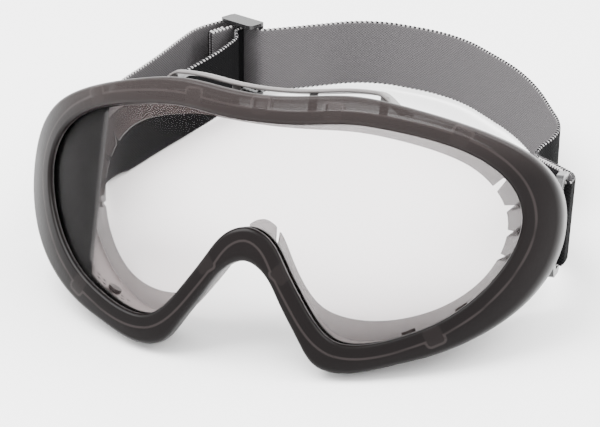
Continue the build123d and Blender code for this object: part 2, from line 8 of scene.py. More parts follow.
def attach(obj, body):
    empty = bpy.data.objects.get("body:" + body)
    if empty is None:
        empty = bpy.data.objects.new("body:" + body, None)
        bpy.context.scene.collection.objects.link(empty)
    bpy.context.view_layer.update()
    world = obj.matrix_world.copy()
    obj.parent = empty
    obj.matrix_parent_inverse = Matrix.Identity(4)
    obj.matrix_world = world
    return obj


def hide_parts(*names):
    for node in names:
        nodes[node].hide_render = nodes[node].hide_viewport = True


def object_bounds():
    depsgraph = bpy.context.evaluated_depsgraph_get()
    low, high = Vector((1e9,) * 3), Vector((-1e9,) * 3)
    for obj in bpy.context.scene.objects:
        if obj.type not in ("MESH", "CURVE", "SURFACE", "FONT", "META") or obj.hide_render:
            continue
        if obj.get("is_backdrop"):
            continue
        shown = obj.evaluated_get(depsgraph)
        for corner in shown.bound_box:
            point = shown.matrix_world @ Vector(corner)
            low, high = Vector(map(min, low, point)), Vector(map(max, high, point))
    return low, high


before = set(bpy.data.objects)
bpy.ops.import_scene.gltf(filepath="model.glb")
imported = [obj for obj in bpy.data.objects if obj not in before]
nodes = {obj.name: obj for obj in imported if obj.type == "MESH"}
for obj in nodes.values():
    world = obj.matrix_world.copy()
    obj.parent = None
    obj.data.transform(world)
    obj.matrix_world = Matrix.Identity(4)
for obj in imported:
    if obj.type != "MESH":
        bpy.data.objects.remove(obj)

MM = 0.001


def corners(found):
    if isinstance(found, dict):
        return {key: corners(value) for key, value in found.items()}
    if isinstance(found, (int, float)):
        return float(found)
    return [corners(value) for value in found]


size_at_load = corners(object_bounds())

# ---------------------------------------------------------------- shared sizes, in millimetres
LEAN = math.radians(21.0)
HOME = (6.548247, -111.22968, 46.7316)
LENS_RADIUS = 114.0
OPENING = [(0, 23.3), (13, 24), (25, 25.5), (40, 24.9), (54, 22.6), (65, 18.3), (72, 12), (75, 4),
           (74, -4.5), (70.3, -13), (64.6, -21), (56, -28.6), (46, -34), (36.5, -37.2), (28.5, -37),
           (23.8, -33.6), (18.6, -27), (12, -17), (6.8, -10), (0, -7.3)]
OUTSIDE = [(0, 31.6), (13, 32.6), (26, 34), (40, 32.8), (54, 30.2), (67, 26.6), (77, 21.6), (83.6, 14),
           (86, 4), (85, -7), (81.5, -16), (75.5, -24.5), (67, -32), (56, -38.4), (44, -43), (31.5, -46.4),
           (24, -45), (18.6, -38.6), (11.6, -28), (6.4, -20.6), (0, -17.4)]
FLANGE = [(0, 22.6), (12, 23), (24, 23.6), (36, 22.6), (47, 20.4), (56, 16.8), (63, 10.6), (66.8, 3),
          (67, -5), (64, -14), (57.5, -22.4), (48.5, -28.4), (38.5, -31.6), (28.5, -32), (20.5, -29.6),
          (14, -23), (9, -14.6), (4.6, -7.8), (0, -5.4)]
TABS = [(0, 28.2, 0), (21.3, 28.6, 0), (56.8, 25.8, 20), (11.8, -19.6, 128), (55.9, -32.6, 150)]
TEMPLE_GAPS = [(63.2, 12.2, 34), (66.8, 5.4, 76), (67.2, -2.2, 92), (65.8, -9.8, 108)]
PIVOT_BACK = 50.0
PIVOT_SEAT = 79.4
SLOPE = math.radians(12.18)
PIVOT = (50.0 * math.cos(LEAN), 28.8132)
STRAP_WIDTH = 27.5
FLANGE_THICKNESS = 1.5
TAB_HALF = (2.7, 2.8)  # half width and half height of a locking tab
TAB_CORNER = 1.2
VENT_PITCH = 2.6


# ---------------------------------------------------------------- mesh helpers
def to_row(points):
    """Goggle-frame millimetres to row-frame metres."""
    p = np.asarray(points, float)
    c, s = math.cos(LEAN), math.sin(LEAN)
    out = np.empty_like(p)
    out[:, 0] = p[:, 0] + HOME[0]
    out[:, 1] = p[:, 1] * c + p[:, 2] * s + HOME[1]
    out[:, 2] = -p[:, 1] * s + p[:, 2] * c + HOME[2]
    return out * MM


def make_object(name, verts, faces, smooth=True):
    mesh = bpy.data.meshes.new(name)
    mesh.from_pydata([tuple(v) for v in verts], [], [tuple(int(i) for i in f) for f in faces])
    mesh.update()
    if smooth:
        mesh.polygons.foreach_set("use_smooth", [True] * len(mesh.polygons))
    obj = bpy.data.objects.new(name, mesh)
    bpy.context.scene.collection.objects.link(obj)
    return obj


def float_attribute(obj, name, values):
    layer = obj.data.attributes.new(name, "FLOAT", "POINT")
    layer.data.foreach_set("value", np.asarray(values, np.float32))


def periodic_spline(points, marks, n_marks):
    """Closed smooth curve through the points, sampled so that the given point indices fall on n_marks."""
    p = np.asarray(points, float)
    closed = np.vstack([p, p[:1]])
    step = np.hypot(*(closed[1:] - closed[:-1]).T)
    t = np.concatenate([[0], np.cumsum(step)])
    n = len(p)
    h = np.diff(t)
    a = np.zeros((n, n))
    rhs = np.zeros((n, 2))
    for i in range(n):
        hp, hn = h[i - 1], h[i]
        a[i, i - 1] += hn
        a[i, i] += 2 * (hp + hn)
        a[i, (i + 1) % n] += hp
        rhs[i] = 3 * (hn * (p[i] - p[i - 1]) / hp + hp * (p[(i + 1) % n] - p[i]) / hn)
    m = np.linalg.solve(a, rhs)
    mark_t = [t[i] for i in marks] + [t[-1]]
    counts = list(n_marks) + [SAMPLES]
    u = np.interp(np.arange(SAMPLES), counts, mark_t)
    k = np.clip(np.searchsorted(t, u, side="right") - 1, 0, n - 1)
    s = (u - t[k]) / h[k]
    s = s[:, None]
    p0, p1 = p[k], p[(k + 1) % n]
    m0, m1 = m[k] * h[k][:, None], m[(k + 1) % n] * h[k][:, None]
    return ((2 * s ** 3 - 3 * s ** 2 + 1) * p0 + (s ** 3 - 2 * s ** 2 + s) * m0
            + (-2 * s ** 3 + 3 * s ** 2) * p1 + (s ** 3 - s ** 2) * m1)


def whole(half):
    return half + [(-x, z) for x, z in reversed(half[1:-1])]


def grown(points, distance):
    p = np.asarray(points, float)
    run = np.roll(p, -1, 0) - np.roll(p, 1, 0)
    run /= np.hypot(*run.T)[:, None]
    return p + np.stack([-run[:, 1], run[:, 0]], 1) * distance


def landmarks(half_marks, half_count):
    """Indices of the same landmarks on both halves of a closed outline."""
    total = 2 * (half_count - 1)
    left = [total - i for i in reversed(half_marks[1:-1])]
    return list(half_marks) + left


SAMPLES = 840
HALF_SHARES = [0, 0.135, 0.235, 0.38, 0.455, 0.5]  # share of the way round at each landmark
MARK_COUNTS = [int(round(share * SAMPLES)) for share in HALF_SHARES]
MARK_COUNTS = MARK_COUNTS + [SAMPLES - c for c in reversed(MARK_COUNTS[1:-1])]


def outline(points, half_marks, half_count):
    return periodic_spline(points, landmarks(half_marks, half_count), MARK_COUNTS)


opening = outline(whole(OPENING), [0, 4, 7, 14, 17, 19], len(OPENING))
outside = outline(whole(OUTSIDE), [0, 4, 8, 15, 18, 20], len(OUTSIDE))
lens_edge = outline(grown(whole(OPENING), 4.0), [0, 4, 7, 14, 17, 19], len(OPENING))


def wall_outline(distance):
    """The chamber wall's outline, the given distance outside the clear opening."""
    p = grown(whole(OPENING), distance)
    p = p * np.stack([np.full(len(p), 0.97), np.where(p[:, 1] < 0, 0.94, 1.0)], 1)
    return outline(p, [0, 4, 7, 14, 17, 19], len(OPENING))


wall_out = wall_outline(5.0)
wall_in = wall_outline(3.2)
flange_edge = outline(whole(FLANGE), [0, 4, 8, 13, 16, 18], len(FLANGE))


def lens_depth(points, behind):
    """Depth of the surface that lies behind the lens's outside face, at each (x, z)."""
    r = LENS_RADIUS - behind
    return LENS_RADIUS - np.sqrt(np.maximum(r * r - points[:, 0] ** 2, 0))


def face_depth(points, inset=0.0):
    """Depth of the face side of the flange, brought forward by inset."""
    radius, centre, turn = 70.0 + inset, 86.0, math.radians(45.6)
    x = np.abs(points[:, 0])
    end_x, end_y = radius * math.sin(turn), centre - radius * math.cos(turn)
    near = centre - np.sqrt(np.maximum(radius ** 2 - np.minimum(x, end_x) ** 2, 0))
    return np.where(x < end_x, near, end_y + (x - end_x) * math.tan(turn))


# Notches at the temples and slits over the nose, cut into the flange's free edge
notched = flange_edge.copy()
for gx, gz, turn in TEMPLE_GAPS:
    for side in (1, -1):
        c, s = math.cos(math.radians(turn)), math.sin(math.radians(turn))
        along = (notched[:, 0] - side * gx) * s * side + (notched[:, 1] - gz) * c
        across = (notched[:, 0] - side * gx) * c * side - (notched[:, 1] - gz) * s
        inside = (np.abs(across) < 0.85) & (np.abs(along) < 4)
        push = np.where(inside, 2.8 - along, 0.0)
        notched[:, 0] += push * s * side
        notched[:, 1] += push * c
slit = (np.abs(np.abs(notched[:, 0]) - 4.8) < 0.5) & (notched[:, 1] < 0) & (notched[:, 1] > -12)
notched[:, 1] = np.where(slit, -13.5, notched[:, 1])

# ---------------------------------------------------------------- frame: one closed section swept round
loops = []
tone = []  # 0 rim, 1 wall, 2 flange
painted_shade_and_edge = []  # 1 on the outside of the wall, where it is painted shade, and along the flange's free edge, where it paints a dark edge line


def add_loop(points, depth, kind, wall_shade_and_edge=0.0):
    loops.append(np.column_stack([points[:, 0], depth, points[:, 1]]))
    tone.append(np.full(SAMPLES, float(kind)))
    painted_shade_and_edge.append(np.full(SAMPLES, float(wall_shade_and_edge)))


def between(w):
    return opening * (1 - w) + outside * w


for w, b in [(0.0, 0.0), (0.0, -0.7), (0.015, -1.3), (0.05, -1.8), (0.11, -2.1)]:
    add_loop(between(w), lens_depth(between(w), b), 0)
FACE_STEPS = 30
for i in range(FACE_STEPS + 1):
    w = 0.14 + 0.72 * i / FACE_STEPS
    crown = -2.15 - 0.25 * math.sin(math.pi * (w - 0.1) / 0.8)
    add_loop(between(w), lens_depth(between(w), crown), 0)
for w, b in [(0.91, -1.95), (0.96, -1.4), (0.99, -0.6), (1.0, 0.4), (1.0, 2.2), (0.995, 3.6), (0.975, 4.4),
             (0.93, 4.8)]:
    add_loop(between(w), lens_depth(between(w), b), 0, 0.3)
back_start = lens_depth(wall_out, 4.8)
back_end = face_depth(wall_out)
for i in range(19):
    share = (i / 18.0)
    add_loop(wall_out, back_start * (1 - share) + (back_end - 0.7) * share, 1, 1.0)
for w in (0.06, 0.2, 0.4, 0.6, 0.8, 0.94, 1.0):
    p = wall_out * (1 - w) + notched * w
    add_loop(p, face_depth(p), 2, 1.0 if w == 1.0 else 0.0)
for w in (1.0, 0.97, 0.9, 0.7, 0.5, 0.3, 0.1, 0.0):
    p = wall_in * (1 - w) + notched * w
    add_loop(p, face_depth(p, FLANGE_THICKNESS), 2, 1.0 if w == 1.0 else 0.0)
front_start = lens_depth(wall_in, 4.8)
front_end = face_depth(wall_in, FLANGE_THICKNESS)
for i in range(17):
    share = 1 - (i + 1) / 18.0
    add_loop(wall_in, front_start * (1 - share) + front_end * share, 1)
for p, b in ((wall_in, 4.8), (opening * 0.6 + wall_in * 0.4, 4.8), (opening, 4.6), (opening, 2.3)):
    add_loop(p, lens_depth(p, b), 0, 0.2)
for p, b in ((lens_edge, 2.3), (lens_edge, -0.1), (opening * 0.98 + lens_edge * 0.02, -0.1)):
    add_loop(p, lens_depth(p, b), 0, 0.2)

count = len(loops)
verts = np.vstack(loops)
faces = []
for k in range(count):
    a, b = k * SAMPLES, ((k + 1) % count) * SAMPLES
    i = np.arange(SAMPLES)
    j = (i + 1) % SAMPLES
    faces += list(zip(a + i, a + j, b + j, b + i))


def cylinder_x(x0, x1, y, z, radius, steps=48):
    """Closed cylinder along X in the goggle frame: vertices and faces."""
    ring = [(y + radius * math.cos(2 * math.pi * n / steps), z + radius * math.sin(2 * math.pi * n / steps))
            for n in range(steps)]
    v = [(x0, a, b) for a, b in ring] + [(x1, a, b) for a, b in ring]
    f = [(n, (n + 1) % steps, steps + (n + 1) % steps, steps + n) for n in range(steps)]
    f.append(tuple(range(steps - 1, -1, -1)))
    f.append(tuple(range(steps, 2 * steps)))
    return v, f


extra_tone = []
for side in (1, -1):
    for x0, x1, radius in ((PIVOT_SEAT - 3.0, PIVOT_SEAT, 6.4), (PIVOT_SEAT, PIVOT_SEAT + 2.9, 3.0)):
        v, f = cylinder_x(side * x0, side * x1, PIVOT_BACK, 0.0, radius)
        base = len(verts)
        verts = np.vstack([verts, v])
        faces += [tuple(base + i for i in face) for face in f]
        extra_tone += [1.0] * len(v)

frame_obj = make_object("frame_moulding", to_row(verts), faces)
all_tone = np.concatenate(tone + [np.array(extra_tone)])
all_wall_shade_and_edge = np.concatenate(painted_shade_and_edge + [np.zeros(len(extra_tone))])
float_attribute(frame_obj, "tone", all_tone)
float_attribute(frame_obj, "wall_shade_and_edge", all_wall_shade_and_edge)


def tab_distance(px, pz):
    """Signed distance to the nearest locking tab's outline, in the plane of the lens."""
    best = np.full(len(px), 1e3)
    for tx, tz, turn in TABS:
        for side in ((1, -1) if tx else (1,)):
            c, s = math.cos(math.radians(turn)), math.sin(math.radians(turn))
            lx = (px - side * tx) * c * side - (pz - tz) * s
            lz = (px - side * tx) * s * side + (pz - tz) * c
            qx = np.abs(lx) - (TAB_HALF[0] - TAB_CORNER)
            qz = np.abs(lz) - (TAB_HALF[1] - TAB_CORNER)
            past = np.hypot(np.maximum(qx, 0), np.maximum(qz, 0))
            d = past + np.minimum(np.maximum(qx, qz), 0) - TAB_CORNER
            best = np.minimum(best, d)
    return best


# Lens edge and tabs show through the translucent rim: distance from that outline at each vertex
px, pz = verts[:, 0], verts[:, 2]
rim_index = np.nonzero(all_tone == 0)[0]
edge_distance = np.full(len(verts), 50.0)
sample_number = rim_index % SAMPLES
window = np.arange(-14, 15)
cand = (sample_number[:, None] + window[None, :]) % SAMPLES
dx = px[rim_index][:, None] - lens_edge[cand, 0]
dz = pz[rim_index][:, None] - lens_edge[cand, 1]
dist = np.hypot(dx, dz)
pick = dist.argmin(1)
base_vec = np.stack([dx[np.arange(len(pick)), pick], dz[np.arange(len(pick)), pick]], 1)
away = (lens_edge - opening)[cand[np.arange(len(pick)), pick]]
sign = np.sign((base_vec * away).sum(1))
edge_distance[rim_index] = dist.min(1) * np.where(sign == 0, 1, sign)
tabs = tab_distance(px, pz)
outline_distance = np.abs(np.minimum(edge_distance, tabs))
float_attribute(frame_obj, "edge", np.clip(outline_distance, 0, 20))
float_attribute(frame_obj, "tabs", np.clip(tabs, -5, 20))
# Height up the front of the rim, and coordinates along the wall for the vent holes
float_attribute(frame_obj, "height", verts[:, 2] / 40.0)
# Coordinates in vent pitches, and where the holes are
ahead = lens_depth(np.column_stack([verts[:, 0], verts[:, 2]]), 0)
side_x, low_wall = np.abs(verts[:, 0]), verts[:, 2] < 0
vent_u = np.where(low_wall, (side_x - 42.0) / VENT_PITCH, side_x / VENT_PITCH)
vent_v = np.where(low_wall, verts[:, 1] - ahead - 9.2, verts[:, 1] - ahead / 2 - 11.0) / VENT_PITCH
float_attribute(frame_obj, "vent_u", vent_u)
float_attribute(frame_obj, "vent_v", vent_v)
in_reach = np.where(low_wall, (side_x > 41) & (side_x < 69), side_x < 35)
vented = (all_tone == 1) & (np.abs(vent_v) < 4) & in_reach
float_attribute(frame_obj, "vent", vented)


# ---------------------------------------------------------------- arched cap over the top vents
COVER_HALF, COVER_STEPS, COVER_ROWS = 39.0, 96, 10
top = wall_out[:, 1] > 5
order = np.argsort(wall_out[top, 0])
cover_x = np.linspace(-COVER_HALF, COVER_HALF, COVER_STEPS + 1)
wall_top = np.interp(cover_x, wall_out[top, 0][order], wall_out[top, 1][order])
ease = np.clip((np.abs(cover_x) - 31.0) / (COVER_HALF - 31.0), 0, 1)
rise = 4.6 * (1 - ease * ease * (3 - 2 * ease)) + 0.4
flat = np.column_stack([cover_x, wall_top])
cover_front = lens_depth(flat, 6.0)
cover_back = face_depth(flat) - 0.3
cover_verts, cover_faces = [], []
for skin in (0.9, 0.0):
    for r in range(COVER_ROWS + 1):
        share = r / COVER_ROWS
        droop = 0.5 * (2 * share - 1) ** 4
        depth = cover_front * (1 - share) + cover_back * share
        cover_verts.append(np.column_stack([cover_x, depth, wall_top + rise + skin - droop]))
cover_verts = np.vstack(cover_verts)
row, sheet_size = COVER_STEPS + 1, (COVER_STEPS + 1) * (COVER_ROWS + 1)
for r in range(COVER_ROWS):
    for c in range(COVER_STEPS):
        a = r * row + c
        cover_faces.append((a, a + 1, a + row + 1, a + row))
        a += sheet_size
        cover_faces.append((a, a + row, a + row + 1, a + 1))
for c in range(COVER_STEPS):
    cover_faces.append((c, sheet_size + c, sheet_size + c + 1, c + 1))
    a = COVER_ROWS * row + c
    cover_faces.append((a, a + 1, sheet_size + a + 1, sheet_size + a))
for r in range(COVER_ROWS):
    a = r * row
    cover_faces.append((a, a + row, sheet_size + a + row, sheet_size + a))
    a += COVER_STEPS
    cover_faces.append((a, sheet_size + a, sheet_size + a + row, a + row))
for peg_x in (-33.0, -12.0, 12.0, 33.0):
    roof = float(np.interp(peg_x, cover_x, wall_top))
    lift = float(np.interp(peg_x, cover_x, rise))
    middle = 11.0 + (LENS_RADIUS - math.sqrt(LENS_RADIUS ** 2 - peg_x ** 2)) / 2
    for z0, z1, radius in ((roof - 3.2, roof - 2.2, 2.2), (roof - 2.2, roof + lift + 0.2, 1.3)):
        v, f = cylinder_x(z0, z1, peg_x, middle, radius, 24)
        base = len(cover_verts)
        cover_verts = np.vstack([cover_verts, [(b, c, a) for a, b, c in v]])
        cover_faces += [tuple(base + i for i in face) for face in f]
cover_obj = make_object("upper_vent_cap", to_row(cover_verts), cover_faces)

# ---------------------------------------------------------------- ribbons of webbing
def unit(dx, dy):
    length = math.hypot(dx, dy)
    return dx / length, dy / length


def route_line(points, radii, step=0.6):
    """Evenly spaced points along a route with round corners."""
    line = [points[0]]
    for i in range(1, len(points) - 1):
        a, b, c = points[i - 1], points[i], points[i + 1]
        u, v = unit(b[0] - a[0], b[1] - a[1]), unit(c[0] - b[0], c[1] - b[1])
        cross, dot = u[0] * v[1] - u[1] * v[0], u[0] * v[0] + u[1] * v[1]
        turn = math.atan2(cross, dot)
        radius = radii[i - 1]
        reach = radius * math.tan(abs(turn) / 2)
        start = (b[0] - u[0] * reach, b[1] - u[1] * reach)
        way = math.copysign(1, turn)
        centre = (start[0] - u[1] * radius * way, start[1] + u[0] * radius * way)
        pieces = max(6, int(abs(turn) * radius / step))
        for n in range(pieces + 1):
            angle = turn * n / pieces
            rx, ry = start[0] - centre[0], start[1] - centre[1]
            line.append((centre[0] + rx * math.cos(angle) - ry * math.sin(angle),
                         centre[1] + rx * math.sin(angle) + ry * math.cos(angle)))
    line.append(points[-1])
    p = np.asarray(line, float)
    run = np.concatenate([[0], np.cumsum(np.hypot(*(p[1:] - p[:-1]).T))])
    keep = np.concatenate([[True], np.diff(run) > 1e-6])
    p, run = p[keep], run[keep]
    n = max(8, int(run[-1] / step))
    at = np.linspace(0, run[-1], n + 1)
    return np.column_stack([np.interp(at, run, p[:, 0]), np.interp(at, run, p[:, 1])]), run[-1]


def corner_radii(points, limits):
    radii = []
    for (ax, ay), (bx, by), (cx, cy), limit in zip(points, points[1:], points[2:], limits):
        before, after = math.hypot(bx - ax, by - ay), math.hypot(cx - bx, cy - by)
        turn = math.atan2(cy - by, cx - bx) - math.atan2(by - ay, bx - ax)
        turn = (turn + math.pi) % (2 * math.pi) - math.pi
        radii.append(min(0.45 * min(before, after) / max(math.tan(abs(turn) / 2), 1e-6), limit))
    return radii


def smooth_step(t):
    t = np.clip(t, 0, 1)
    return t * t * (3 - 2 * t)


def ribbon(name, route, limits, width=STRAP_WIDTH, thickness=1.4, rows=40, seed=0):
    """Webbing on edge along a plan route: black on the right of its travel, grey on the left."""
    line, length = route_line(route, corner_radii(route, limits))
    n = len(line)
    tangent = np.gradient(line, axis=0)
    tangent /= np.hypot(*tangent.T)[:, None]
    normal = np.stack([-tangent[:, 1], tangent[:, 0]], 1)
    y = line[:, 1]
    tilt = SLOPE * (1 - smooth_step((y - 92) / 30))
    low_line = PIVOT[1] - (y - PIVOT[0]) * math.tan(SLOPE)
    middle = np.maximum(low_line, STRAP_WIDTH / 2) + 1.8 * smooth_step((y - 150) / 53)
    blend_in = smooth_step((y - 100) / 16)
    middle = middle + 0.35 * np.exp(-((y - 110) / 9) ** 2) * blend_in
    s = np.arange(n) * length / (n - 1)
    random = np.random.default_rng(seed)
    v_rows = np.linspace(-1, 1, rows + 1)
    tooth = 0.45 * (np.abs(((s / 2.1) % 1) - 0.5) * 2)
    half_t = thickness / 2
    vert_list, side_list, edge_list, along_list = [], [], [], []
    fuzz = random.normal(0, 0.008, (2, n, rows + 1))
    for side in (0, 1):
        sign = 1.0 if side else -1.0
        for k, v in enumerate(v_rows):
            at_edge = max(0.0, (abs(v) - 0.93) / 0.07)
            half_w = width / 2 - 0.5
            reach = v * half_w + np.sign(v) * (tooth if abs(v) > 0.999 else tooth * at_edge)
            bulge = half_t * math.sqrt(max(0.0, 1 - at_edge ** 2 * 0.75))
            rib = 0.03 * np.sin(s * 2 * math.pi / 2.1) * (1 - at_edge)
            off = sign * (bulge + rib + fuzz[side, :, k])
            x = line[:, 0] + normal[:, 0] * off
            yy = y + normal[:, 1] * off + reach * np.sin(tilt)
            z = middle + reach * np.cos(tilt)
            vert_list.append(np.column_stack([x, yy, np.maximum(z, 0.02)]))
            side_list.append(np.full(n, float(side)))
            edge_list.append(np.full(n, abs(v)))
            along_list.append(s)
    v = np.vstack(vert_list)
    per_side = (rows + 1) * n
    f = []
    i = np.arange(n - 1)
    for side in (0, 1):
        for k in range(rows):
            a = side * per_side + k * n
            b = a + n
            if side:
                f += list(zip(a + i, b + i, b + i + 1, a + i + 1))
            else:
                f += list(zip(a + i, a + i + 1, b + i + 1, b + i))
    for k in (0, rows):
        a, b = k * n, per_side + k * n
        if k:
            f += list(zip(a + i, a + i + 1, b + i + 1, b + i))
        else:
            f += list(zip(a + i, b + i, b + i + 1, a + i + 1))
    for end in (0, n - 1):
        for k in range(rows):
            a, b = k * n + end, per_side + k * n + end
            quad = (a, a + n, b + n, b) if end == 0 else (a, b, b + n, a + n)
            f.append(quad)
    v = (v + np.array([HOME[0], HOME[1], 0.0])) * MM
    obj = make_object(name, v, f)
    float_attribute(obj, "inside", np.concatenate(side_list))
    float_attribute(obj, "edge", np.concatenate(edge_list))
    float_attribute(obj, "along", np.concatenate(along_list))
    float_attribute(obj, "across", np.tile(np.repeat(v_rows * width / 2, n), 2))
    return obj, length


def along_clip(distance):
    """Plan depth of a point the given distance down the slope from the pivot."""
    return PIVOT[0] + distance * math.cos(SLOPE)


BAR_OUTER = PIVOT_SEAT + 0.3 + 2.4 + 0.3 + 0.75
BAR_INNER = PIVOT_SEAT + 0.3 - 0.3 - 0.75
CROSS = along_clip(15.8 - 0.3 - 0.75)
LEG_END = along_clip(26.2)
LEG_Y = along_clip(29.2)
BAND_PLAN = [(62, 112), (70, 141), (50, 188), (12, 231), (-27, 240), (-53, 221), (-66, 212), (-84, 221),
             (-92, 207), (-95, 173), (-100, 132)]
run_way = unit(BAND_PLAN[0][0] - BAR_OUTER, BAND_PLAN[0][1] - LEG_Y)
inward = (-run_way[1], run_way[0])


def beside_run(along, step):
    return (BAR_OUTER + run_way[0] * along + inward[0] * step, LEG_Y + run_way[1] * along + inward[1] * step)


band_route = ([beside_run(28, 1.6), beside_run(8, 1.6), (BAR_INNER, LEG_Y - 5), (BAR_INNER, CROSS),
               (BAR_OUTER, CROSS), (BAR_OUTER, LEG_Y)] + BAND_PLAN
              + [(-BAR_OUTER, LEG_Y), (-BAR_OUTER, CROSS), (-BAR_INNER, CROSS), (-BAR_INNER, LEG_END)])
band_limits = [12, 12, 1.5, 1.5, 400]
band_limits += [4 if point in BAND_PLAN[6:8] else 400 for point in BAND_PLAN]
band_limits += [400, 1.5, 1.5]
band_obj, band_length = ribbon("headband_webbing", band_route, band_limits, seed=1)

slider_turn = math.atan2(BAND_PLAN[6][1] - BAND_PLAN[7][1], BAND_PLAN[6][0] - BAND_PLAN[7][0])
slider_x = (BAND_PLAN[6][0] + BAND_PLAN[7][0]) / 2
slider_y = (BAND_PLAN[6][1] + BAND_PLAN[7][1]) / 2


def by_slider(x, y):
    c, s = math.cos(slider_turn), math.sin(slider_turn)
    return (slider_x + x * c - y * s, slider_y + x * s + y * c)


MIDDLE_BAR_Y = -3.95
LOOP_OUT = 2.2 / 2 + 0.15 + 0.75
LOOP_SIDE = 2.2 / 2 + 0.3 + 0.75
TAIL_TURN = MIDDLE_BAR_Y + LOOP_OUT
tail_end = (-LOOP_SIDE + 0.75, TAIL_TURN - 15.0)
return_route = [(-BAR_INNER, LEG_END + 0.1), (-BAR_INNER, LEG_Y), (-89.5, 104), (-82.5, 146),
                (-73.5, 183), (-72, 200), by_slider(LOOP_SIDE, TAIL_TURN - 5),
                by_slider(LOOP_SIDE, TAIL_TURN),
                by_slider(-LOOP_SIDE, TAIL_TURN), by_slider(*tail_end)]
inner_obj, inner_length = ribbon("inner_layer_webbing", return_route, [400] * 8, seed=2)
hem_lean = 0.75 * 8.0 / 15.0
hem_route = [by_slider(tail_end[0] - hem_lean - 1.6, tail_end[1] + 8.0),
             by_slider(tail_end[0] - 1.6, tail_end[1])]
hem_obj, hem_length = ribbon("end_hem_webbing", hem_route, [], seed=3)


# ---------------------------------------------------------------- materials
def new_material(name):
    mat = bpy.data.materials.new(name)
    mat.use_nodes = True
    nt = mat.node_tree
    nt.nodes.clear()
    out = nt.nodes.new("ShaderNodeOutputMaterial")
    return mat, nt, out


def link(nt, a, b):
    nt.links.new(a, b)


def math_node(nt, operation, a, b=None, clamp=False):
    node = nt.nodes.new("ShaderNodeMath")
    node.operation = operation
    node.use_clamp = clamp
    for socket, value in zip(node.inputs, (a, b)):
        if value is None:
            continue
        if isinstance(value, (int, float)):
            socket.default_value = value
        else:
            link(nt, value, socket)
    return node.outputs[0]


def mix_colour(nt, factor, a, b):
    node = nt.nodes.new("ShaderNodeMix")
    node.data_type = "RGBA"
    for index, value in ((0, factor), (6, a), (7, b)):
        if isinstance(value, (int, float)):
            node.inputs[index].default_value = value
        elif isinstance(value, tuple):
            node.inputs[index].default_value = (*value, 1)
        else:
            link(nt, value, node.inputs[index])
    return node.outputs[2]


def attribute(nt, name):
    node = nt.nodes.new("ShaderNodeAttribute")
    node.attribute_name = name
    return node.outputs["Fac"]


def noise(nt, scale, detail=3.0, rough=0.5):
    coords = nt.nodes.new("ShaderNodeTexCoord")
    node = nt.nodes.new("ShaderNodeTexNoise")
    node.inputs["Scale"].default_value = scale
    node.inputs["Detail"].default_value = detail
    node.inputs["Roughness"].default_value = rough
    link(nt, coords.outputs["Object"], node.inputs["Vector"])
    return node.outputs["Fac"]


def ramp(nt, value, low, high):
    """Smoothly 0 below low and 1 above high."""
    node = nt.nodes.new("ShaderNodeMapRange")
    node.interpolation_type = "SMOOTHSTEP"
    node.inputs["From Min"].default_value = low
    node.inputs["From Max"].default_value = high
    link(nt, value, node.inputs["Value"])
    return node.outputs[0]


def bump(nt, height, strength, distance):
    node = nt.nodes.new("ShaderNodeBump")
    node.inputs["Strength"].default_value = strength
    node.inputs["Distance"].default_value = distance
    link(nt, height, node.inputs["Height"])
    return node.outputs[0]


def see_through(nt, surface, opacity, tint=(1.0, 1.0, 1.0)):
    """Surface over what lies behind it, by its opacity."""
    clear = nt.nodes.new("ShaderNodeBsdfTransparent")
    clear.inputs["Color"].default_value = (*tint, 1)
    mix = nt.nodes.new("ShaderNodeMixShader")
    if isinstance(opacity, (int, float)):
        mix.inputs[0].default_value = opacity
    else:
        link(nt, opacity, mix.inputs[0])
    link(nt, clear.outputs[0], mix.inputs[1])
    link(nt, surface, mix.inputs[2])
    return mix.outputs[0]


